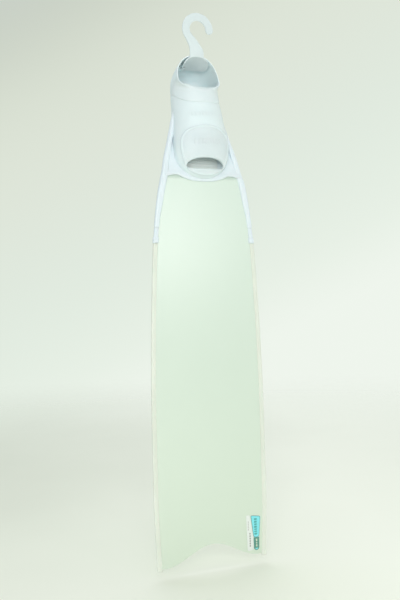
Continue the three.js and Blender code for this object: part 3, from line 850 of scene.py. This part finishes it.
def blade_grids(grow=0.0, columns=65):
    """Front and back of the blade, or of the space it needs where grow is over 0."""
    tail = BLADE_TAIL_Z - BEND_Z
    root = TONGUE_END - BEND_S
    runs = np.concatenate([np.linspace(tail, tail + 90, 40)[:-1], np.linspace(tail + 90, -6, 70)[:-1],
                           np.linspace(-6, 30, 37)[:-1], np.linspace(30, root, 12)])
    half = np.where(runs < 4, fin_half(runs + BEND_Z) - EDGE_INSET, blade_half(runs)) + grow
    x = np.linspace(-1, 1, columns) * half[:, None]
    arch = TAIL_ARCH * (0.5 + 0.5 * np.cos(math.pi * np.minimum(np.abs(x) / TAIL_ARCH_HALF, 1)))
    run = runs[:, None] + arch * np.clip(1 - (runs[:, None] - tail) / 90, 0, 1)
    run[0] -= grow
    run[-1] += grow
    thickness = lerp(BLADE_TAIL_THICKNESS, BLADE_ROOT_THICKNESS, smoothstep(runs, tail, 0))[:, None]
    off = thickness / 2 + grow
    return sheeted(on_blade(x, run, -off), on_blade(x, run, off))


def edge_rings(side, heights, y, width, depth, inset=0.0, count=40, softness=0.68):
    """Rounded lozenge rings down one edge of the fin."""
    turns = (np.arange(count) + 0.5) / count * 2 * math.pi
    soft_x = np.sign(np.cos(turns)) * np.abs(np.cos(turns)) ** softness
    soft_y = np.sign(np.sin(turns)) * np.abs(np.sin(turns)) ** softness
    outer, y, width, depth, inset = (np.broadcast_to(value, heights.shape)[:, None]
                                     for value in (fin_half(heights), y, width, depth, inset))
    x = side * (outer - width / 2 + (width / 2 - inset) * soft_x)
    return np.stack([x, y + (depth / 2 - inset) * soft_y, heights[:, None] + 0 * x], -1)


def rounded_ends(low, high, count, rounding, steps=5):
    """Heights down a bar and how far its rings draw in to round its two ends."""
    turns = np.linspace(0, math.pi / 2, steps + 1)[:-1]
    near = rounding * (1 - np.sin(turns)), rounding * (1 - np.cos(turns))
    heights = np.concatenate([low + near[1], np.linspace(low + rounding, high - rounding, count),
                              high - near[1][::-1]])
    inset = np.concatenate([near[0], np.zeros(count), near[0][::-1]])
    return heights, inset


rail_depth = profile([(-661, 3.4), (-107, 5.2)])
rail_width = profile([(-661, 8.6), (-107, 8)])
tendon_width = profile([(-80, 9), (-65, 9.3), (-30, 12), (8, 12.5), (32, 10.5), (53, 10), (72, 9), (90, 11),
                        (127, 9)])
tendon_depth = profile([(-80, 7), (-30, 8.5), (10, 10), (50, 10.5), (90, 10), (127, 7)])
tendon_y = profile([(0, 0), (17, 3), (50, 8), (84, 14), (103, 17), (127, 20.5)])


def rail(side, hand):
    z, inset = rounded_ends(RAIL_END_Z, COLLAR_END_Z - GAP, 90, 1.1)
    rings = edge_rings(side, z, 0, rail_width(z), rail_depth(z), inset, softness=0.5)
    return piece(f"rail_{hand}", lofted(rings), "rail", stands_for=[f"blade_rail_{hand}"])


def tendon(side, hand):
    """Tendon from its collar up to the pocket's side, where it thins out into the wall."""
    z, inset = rounded_ends(TENDON_END_Z, 131, 120, 0.5)
    fade = 1 - 0.72 * smoothstep(z, 104, 131)
    rings = edge_rings(side, z, tendon_y(z), tendon_width(z) * fade, tendon_depth(z) * fade, inset)
    rings[..., 0] -= side * (fin_half(127) - 44) * smoothstep(z, 100, 131)[:, None]
    obj = formed(f"tendon_{hand}_moulded", lofted(rings))
    cut(obj, mid_wall)
    return finished(obj, "frame", stands_for=[f"tendon_{hand}"])


def collar(side, hand):
    """The tendon's last segment and the slightly wider ring below it."""
    top, step, end = TENDON_END_Z - GAP, COLLAR_STEP_Z, COLLAR_END_Z
    outline = [(top, 0.9), (top - 0.3, 0.55), (top - 0.8, 0.4), (step + 0.5, 0.4), (step, 0.2),
               (step - 0.5, -0.5), (step - 1, -0.8), (end + 1.4, -0.8), (end + 0.6, -0.55), (end + 0.1, 0),
               (end, 0.6)]
    z, inset = np.array(outline).T
    return piece(f"collar_{hand}", lofted(edge_rings(side, z, 0, 9, 6.8, inset)), "frame",
                 stands_for=[f"tendon_collar_{hand}"])


# ---------- webs over the blade's root ----------

web_edge = profile([(0, 0), (20, 1.3), (36, 5.5), (51, 11), (58, 10.6), (64, 8.6), (72, 7.5)])
web_y = profile([(0, -2.7), (8, -2.4), (20, 1), (50, 9.5), (84, 17), (96, 19.5)])


def smooth_min(a, b, blend):
    """The smaller of a and b, with a fillet where they meet."""
    share = np.clip(0.5 + 0.5 * (b - a) / blend, 0, 1)
    return lerp(b, a, share) - blend * share * (1 - share)


def front_web():
    """Web from the wavy lower edge up to the toe box, which it meets in a fillet."""
    lean = np.linspace(-1, 1, 141)
    edge = smooth_rows(web_edge(np.abs(lean) * 72), 2)
    half = WEB_THICKNESS / 2
    z = lerp(edge, WEB_TOP, edge_spaced(60, 85, half)[:, None])
    x = lean * (fin_half(z) - tendon_width(z) / 2)
    curl = half * quarter_round((z - edge) / half)
    y = web_y(z)
    front = smooth_min(y - curl, sample(WEB_HEIGHTS, x, z) + 0.8, 5.0)
    bead = 0.5 * np.exp(-((z - edge - 3.2) / 2.2) ** 2)
    front_points = np.stack([x, np.minimum(front, y - curl) - bead * smoothstep(z - edge, 0, 1.5), z], -1)
    back_points = np.stack([x, np.maximum(y + curl, front + 0.4), z], -1)
    web = formed("front_web_moulded", sheeted(front_points, back_points))
    cut(web, under_skin)
    keep_biggest(web)
    return finished(web, "frame", stands_for=["front_web"])


def rear_web():
    """Web over the blade's root on the sole side, with a rounded lower edge."""
    run = (-3 + 20 * edge_spaced(24, 20, 1.4))[:, None]
    z = BEND_Z + run
    x = np.linspace(-1, 1, 101) * (fin_half(z) - tendon_width(z) - GAP)
    wave = 2.2 * np.cos(x / (fin_half(0.0) - 12) * math.pi * 1.5) * (1 - smoothstep(run, 0, 12))
    bulge = 2.3 * quarter_round((run + 3) / 1.8)
    near = BLADE_ROOT_THICKNESS / 2 + GAP
    base = run + wave
    web = formed("rear_web_moulded", sheeted(on_blade(x, base, near + bulge), on_blade(x, base, near)))
    cut(web, mid_wall)
    keep_biggest(web)
    return finished(web, "frame", stands_for=["rear_web"])


def keep_biggest(obj):
    """Drops the crumbs that a cut leaves beside the main body."""
    shape = bmesh.new()
    shape.from_mesh(obj.data)
    left, bodies = set(shape.verts), []
    while left:
        body, edge = set(), [next(iter(left))]
        while edge:
            vertex = edge.pop()
            if vertex in body:
                continue
            body.add(vertex)
            edge += [link.other_vert(vertex) for link in vertex.link_edges]
        left -= body
        bodies.append(body)
    biggest = max(bodies, key=len)
    bmesh.ops.delete(shape, geom=[v for v in shape.verts if v not in biggest], context="VERTS")
    shape.to_mesh(obj.data)
    shape.free()


# ---------- screws, washers and nuts ----------

THREAD_RISE = 0.5


def turned(name, side, outline, stands_for):
    """Round piece on a screw's axis from (radius, h, hexagon share) points."""
    turns = around(60)
    facet = math.cos(math.pi / 6) / np.cos((turns % (math.pi / 3)) - math.pi / 6)
    rings = []
    for radius, h, hexagon in outline:
        reach = radius * lerp(1.0, facet / math.cos(math.pi / 6), hexagon)
        rings.append(on_foot(side * SCREW_X + reach * np.cos(turns), SCREW_S + reach * np.sin(turns), h))
    ends = "loop" if outline[0][0] > 1.5 else "fan"
    return piece(name, lofted(np.array(rings), ends), "steel", stands_for=stands_for, sharp=25)


def both_faces(half, middle):
    """Section of a washer or nut from the half of it that lies below `middle`."""
    return half + [(radius, 2 * middle - h, hexagon) for radius, h, hexagon in half[::-1]]


def fixings(side, hand):
    socket = [(0.05, 1.25, 1), (1.25, 1.25, 1), (1.25, 0.3, 1), (1.5, 0.2, 0)]
    head = [(2.9, 0.2, 0), (3.5, 0.35, 0), (3.8, 0.75, 0), (3.8, 1.4, 0), (2, 1.42, 0)]
    thread = []
    for turn in range(19):
        h = 1.6 + turn * THREAD_RISE
        thread += [(2.0, h, 0), (1.8, h + THREAD_RISE / 2, 0)]
    turned(f"screw_{hand}", side, socket + head + thread + [(1.5, 10.8, 0)], [f"blade_screw_{hand}"])
    washer = [(2.3, 1.75, 0), (2.4, 1.7, 0), (5.1, 1.7, 0), (5.2, 1.8, 0)]
    turned(f"washer_{hand}", side, both_faces(washer, 2), [f"screw_washer_{hand}"])
    nut = [(2.3, 9.7, 0), (2.5, 9.5, 0), (3.7, 9.5, 0), (3.95, 9.75, 1)]
    turned(f"nut_{hand}", side, both_faces(nut, 10.25), [f"screw_nut_{hand}"])


# ---------- hanger ----------

plate_retreat = profile([(12.5, 0), (20, 2.5), (24, 6)])


def hanger_plate():
    """Curved plate under the heel, wide at the hook's strip and round at its far end."""
    side = np.sin(np.linspace(-1, 1, 61) * math.pi / 2)
    v = edge_spaced(50, 60, PLATE_THICKNESS / 2)[:, None]
    bulge = np.clip((v - 0.45) / 0.55, 0, 1)
    x = side * PLATE_HALF * np.sqrt(np.clip(1 - bulge ** 2, 0.0004, 1))
    fall = PLATE_RADIUS - np.sqrt(PLATE_RADIUS ** 2 - x * x)
    s = PLATE_TOP - PLATE_THICKNESS / 2 - fall
    strip = (SOLE_Y + s * SIN_SOLE - STRIP_Y - 0.1) / COS_SOLE
    h = lerp(strip - plate_retreat(np.abs(x)), PLATE_END, v)
    rim = np.minimum((1 - np.abs(side)) * PLATE_HALF, 60 * np.minimum(v, 1 - v))
    half = PLATE_THICKNESS / 2 * np.maximum(quarter_round(rim / 1.1), math.sqrt(0.001))
    return tool(sheeted(on_foot(x, s + half, h), on_foot(x, s - half, h)))


def hanger():
    """Flat hooked strip with the plate under the heel, in one piece."""
    middle = (HOOK_INNER + HOOK_OUTER) / 2
    left = through([(-23.5, 258.1), (-20, 252.1), (-14.8, 241), (-13.1, 232.3), (-13, 219.5)], 8)
    right = through([(12.7, 219.5), (12.7, 227), (11.6, 234.6), (6.1, 243.1), (-1.2, 252.9),
                     (-7.8, 259.6)], 8)
    outline = np.concatenate([
        arc(HOOK_X, HOOK_Z, HOOK_OUTER, 0, 205, 90),
        left[1:],
        through([left[-1], (0, 222.3), right[0]], 10)[1:],
        right[1:],
        arc(HOOK_X, HOOK_Z, HOOK_INNER, 205, 0, 60),
        arc(HOOK_X + middle, HOOK_Z, (HOOK_OUTER - HOOK_INNER) / 2, 180, 360, 20)[1:-1],
    ])
    rings = pillow(outline, STRIP_Y, STRIP_Y + STRIP_THICKNESS, 0.8)
    strip = formed("hook_hanger", lofted(rings, "face"))
    plate = hanger_plate()
    hole = hanger_hole()
    cut(plate, hole)
    cut(strip, plate, operation="UNION")
    scrap(plate, hole)
    return finished(strip, "hanger", body="shop_hanger", stands_for=["hanger"], sharp=18)


def hanger_hole():
    x, h = arc(-17.5, 52, 2.2, 0, 360, 40)[:-1].T
    return tool(lofted(np.array([on_foot(x, s, h) for s in (PLATE_TOP - 14, PLATE_TOP + 6)])))


# ---------- label ----------

LABEL_BACK = -0.9
LABEL_THICKNESS = 0.3
INK_THICKNESS = 0.08


def rounded_corners(points, radius, steps=5):
    """Closed outline with each corner rounded off."""
    points = anticlockwise(np.array(points, float))
    out = []
    for before, corner, after in zip(np.roll(points, 1, 0), points, np.roll(points, -1, 0)):
        start = corner + unit(before - corner) * radius
        end = corner + unit(after - corner) * radius
        for t in np.linspace(0, 1, steps + 1):
            out.append((1 - t) ** 2 * start + 2 * t * (1 - t) * corner + t * t * end)
    return np.array(out)


def flat_film(name, outline, finish, lift=0.0, thickness=LABEL_THICKNESS, stands_for=()):
    far = LABEL_BACK - lift
    rings = pillow(outline, far - thickness, far, thickness * 0.4, 3)
    return piece(name, lofted(rings, "face"), finish, stands_for=stands_for, sharp=12)


def printed_bars(name, x, spans, width, finish):
    """Column of plain printed bars between pairs of heights."""
    near = LABEL_BACK - LABEL_THICKNESS - 1.75 * INK_THICKNESS
    left, right = x - width / 2, x + width / 2
    bars = []
    for low, high in spans:
        corners = [(left, low), (right, low), (right, high), (left, high)]
        bar = rounded_corners(corners, min(width, high - low) * 0.3, 3)
        bars.append(lofted(pillow(bar, near, near + INK_THICKNESS, 0.02, 1), "face"))
    return piece(name, gathered(bars), finish, sharp=12)


def label():
    """The sticker's three films, with plain bars where it is printed."""
    top = rounded_corners([(73.6, -591.4), (92.6, -594.4), (89.4, -631), (78.4, -631)], 3.6)
    end = np.concatenate([arc(83.9, -649, 5.1, 180, 360, 16), [(89.4, -631.4), (78.5, -631.4)]])
    clear = rounded_corners([(64.8, -590.5), (71.8, -590.5), (77.7, -630), (77.9, -652.5), (68, -654),
                             (66, -650)], 1.5)
    flat_film("label_cyan_part", top, "teal_edge", stands_for=["label_top"])
    flat_film("label_green_part", end, "teal_edge", stands_for=["label_end"])
    flat_film("label_clear_part", clear, "clear", stands_for=["label_strip"])
    ink = {"lift": LABEL_THICKNESS, "thickness": INK_THICKNESS}
    flat_film("label_cyan_face", inset_outline(anticlockwise(top), 0.7), "cyan", **ink)
    flat_film("label_green_face", inset_outline(anticlockwise(end), 0.6), "green", **ink)
    ink["lift"] += INK_THICKNESS
    flat_film("label_tip", arc(83.9, -649.4, 3.2, 195, 345, 12), "cyan", **ink)
    blocks = [(-600.6, -597.2), (-605.4, -601.8), (-609.4, -606.6), (-614.4, -610.6), (-618.2, -615.6),
              (-622, -619.4), (-626.6, -623.2)]
    printed_bars("label_bars", 82.6, blocks, 5.4, "teal_ink")
    printed_bars("label_lines", 84, [(-638.5, -634), (-642.5, -640), (-647.6, -644)], 2.2, "pale_ink")
    small = [(-603.5 - 3.4 * k, -601.5 - 3.4 * k) for k in range(5)]
    large = [(-625 - 4.3 * k, -621.9 - 4.3 * k) for k in range(6)]
    printed_bars("label_strip_small", 68.6, small, 1.2, "plum_ink")
    printed_bars("label_strip_large", 71.4, large, 2.4, "plum_ink")


# ---------- build ----------

mid_wall, under_skin = pocket_core(WALL / 2), pocket_core(0.4)
pocket_shell()
toe_panel()
instep_band()
raised_bars("panel_bars", "panel", np.linspace(-22, 22, 8), 65.5, width=3.6, tall=10, base=1.2, rise=0.4)
raised_bars("instep_bars", "pocket", np.linspace(-24, 18, 8), 113.5, width=2.6, tall=8, base=0, rise=0.35)
footbed()
outsole()
front_web()
rear_web()
piece("blade_laminate", blade_grids(), "laminate", stands_for=["blade"])
for side, hand in ((1, "right"), (-1, "left")):
    tendon(side, hand)
    collar(side, hand)
    rail(side, hand)
    fixings(side, hand)
hanger()
label()
scrap(mid_wall, under_skin)

# ---------- studio ----------

CAMERA_PLACE = Vector((-0.5046, -1.219, -0.4934))
CAMERA_YAW, CAMERA_PITCH, CAMERA_ROLL = (math.radians(angle) for angle in (22.1, 0.1, 1.6))
TO_THE_RIGHT = Vector((math.cos(CAMERA_YAW), -math.sin(CAMERA_YAW), 0))
AHEAD = Vector((math.sin(CAMERA_YAW), math.cos(CAMERA_YAW), 0))
UP = Vector((0, 0, 1))
LENS = 45
FLOOR_GAP = 0.012  # the fin hangs just clear of the floor


def camera():
    data = bpy.data.cameras.new("camera")
    data.lens = LENS
    data.sensor_width = 36
    obj = linked("camera", data)
    turn = (Matrix.Rotation(-CAMERA_YAW, 4, "Z") @ Matrix.Rotation(math.pi / 2 + CAMERA_PITCH, 4, "X")
            @ Matrix.Rotation(-CAMERA_ROLL, 4, "Z"))
    obj.matrix_world = Matrix.Translation(CAMERA_PLACE) @ turn
    bpy.context.scene.camera = obj


def studio_floor():
    """Pale floor under the tail, with painted light that brightens it towards the camera's right, which
    fades out far away.
    """
    low, high = np.array(cad_bounds)
    middle = (low + high) / 2
    middle[2] = low[2] - FLOOR_GAP
    sides = 96
    turns, radii = around(sides), np.geomspace(0.05, 6, 14)[:, None]
    rings = np.stack([radii * np.cos(turns), radii * np.sin(turns), 0 * radii * turns], -1)
    points = np.concatenate([rings.reshape(-1, 3), [(0, 0, 0)]]) + middle
    faces = [face[::-1] for face in quads(*rings.shape[:2], wrap_columns=True)]
    faces += [[i, (i + 1) % sides, len(points) - 1] for i in range(sides)]
    mesh = bpy.data.meshes.new("floor")
    mesh.from_pydata(points.tolist(), [], faces)
    mesh.shade_smooth()
    n = material("floor_paper")
    # Painted light: the floor's colour gets lighter towards the camera's right, standing in for brighter
    # light on that side; the noise adds random clouding.
    across = n.ramp(n.along(TO_THE_RIGHT), -0.7, 0.35, 0, 1)
    cloud = n.math("ADD", across, n.ramp(n.noise(1.5, 3), 0.3, 0.7, -0.1, 0.1))
    n.set(Base_Color=n.mix(cloud, linear((223, 225, 211)), linear((251, 251, 239))))
    away = n.add("VectorMath", {0: n.place}, operation="LENGTH").outputs["Value"]
    fade = n.add("MapRange", {"Value": away, "From Min": 0.8, "From Max": 3.6, "To Min": 1, "To Max": 0},
                 interpolation_type="SMOOTHSTEP").outputs["Result"]
    n.set(Roughness=0.9, Specular_IOR_Level=0.1, Alpha=fade)
    mesh.materials.append(n.owner)
    linked("floor", mesh)


def softbox(name, place, aim, size, power, colour=(1, 1, 1)):
    data = bpy.data.lights.new(name, "AREA")
    data.shape = "RECTANGLE"
    data.size, data.size_y = size
    data.energy = power
    data.color = colour
    obj = linked(name, data)
    obj.location = place
    obj.rotation_euler = (Vector(aim) - Vector(place)).to_track_quat("-Z", "Y").to_euler()


BEHIND_CAMERA = 0.6  # share of the tent's light that comes from the camera's side


def light_tent():
    """World light of a white tent with a tilted dimmer band, weaker behind the camera."""
    world = bpy.data.worlds.new("light_tent")
    n = Nodes(world, "Background", "Generated")
    rise = n.ramp(n.along(UP - TO_THE_RIGHT / 2), 1.0, -0.1, 0, 1)
    bands = n.add("ValToRGB", {"Fac": rise})
    bands.color_ramp.interpolation = "B_SPLINE"
    stops = [(0.0, (240, 248, 255)), (0.25, (226, 236, 240)), (0.46, (190, 197, 186)),
             (0.57, (219, 226, 212)), (0.69, (223, 230, 218)), (0.8, (224, 234, 223)),
             (0.92, (231, 240, 229)), (1.0, (240, 246, 238))]
    for at, colour in stops[1:-1]:
        bands.color_ramp.elements.new(at)
    for element, (at, colour) in zip(bands.color_ramp.elements, stops):
        element.position = at
        element.color = linear(colour)
    n.set(Color=bands.outputs["Color"], Strength=n.ramp(n.along(AHEAD), -0.3, 0.5, BEHIND_CAMERA, 1))
    bpy.context.scene.world = world


def studio():
    light_tent()
    middle = (0, 0, -0.5)
    softbox("key", (-0.95, -2.1, 0.05), middle, (0.9, 1.1), 19.5)
    softbox("gloss", (0.62, -1.95, -0.2), (0, 0, -0.35), (0.36, 0.42), 2.5, (1, 0.99, 1))
    softbox("fill", (-0.5, -1.5, -0.85), (0, 0, -0.27), (0.3, 0.3), 1.5)
    softbox("crown", (-0.2, -1.2, 0.9), (0, 0, -0.05), (0.3, 0.3), 1.1)
    softbox("top", (0.0, 0.1, 3.2), middle, (2.4, 2.4), 24, (0.98, 1, 1))
    softbox("back", (1.0, 3.0, 2.4), (0.7, 2.1, -1), (2.6, 2.6), 19)
    bpy.context.scene.view_settings.view_transform = "Standard"


camera()
studio_floor()
studio()
